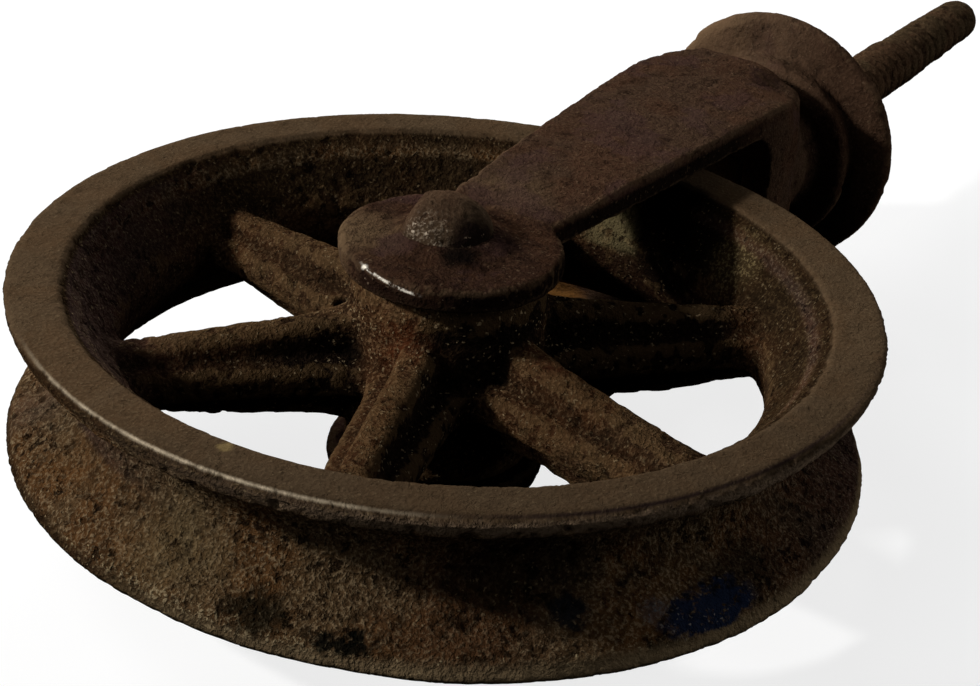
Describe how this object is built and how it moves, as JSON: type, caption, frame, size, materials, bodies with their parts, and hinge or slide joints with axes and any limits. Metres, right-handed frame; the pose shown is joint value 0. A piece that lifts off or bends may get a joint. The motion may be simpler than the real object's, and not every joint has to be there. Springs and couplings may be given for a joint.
{
  "type": "screw-in pulley",
  "caption": "Screw-in farm pulley: a spoked rope sheave turning on a riveted axle between the arms of a cast yoke, held by a lag screw behind a round flange.",
  "frame": {"origin": "centre of the flange's bearing face, on the lag screw's axis, where the plain shank leaves the flange", "axes": "+X along the lag screw towards its tip; +Z along the sheave's axle towards the round rivet head; +Y completes the right-handed frame"},
  "size_m": [0.3239, 0.1524, 0.0575],
  "materials": {
    "yoke_iron": "rusted rough casting, dark brown",
    "sheave_iron": "rusted rough casting, brown with grease stains",
    "rivet_steel": "rusted forged steel, worn on the crown of the head",
    "screw_steel": "rusted steel with a worn thread"
  },
  "bodies": {
    "mounting": {"yoke": "yoke_iron", "axle_rivet": "rivet_steel", "lag_screw": "screw_steel"},
    "wheel": {"sheave": "sheave_iron"}
  },
  "joints": [
    {"name": "sheave_spin", "type": "hinge", "parent": "mounting", "child": "wheel", "pos_m": [-0.135, 0, 0], "axis": [0, 0, 1], "continuous": true}
  ]
}
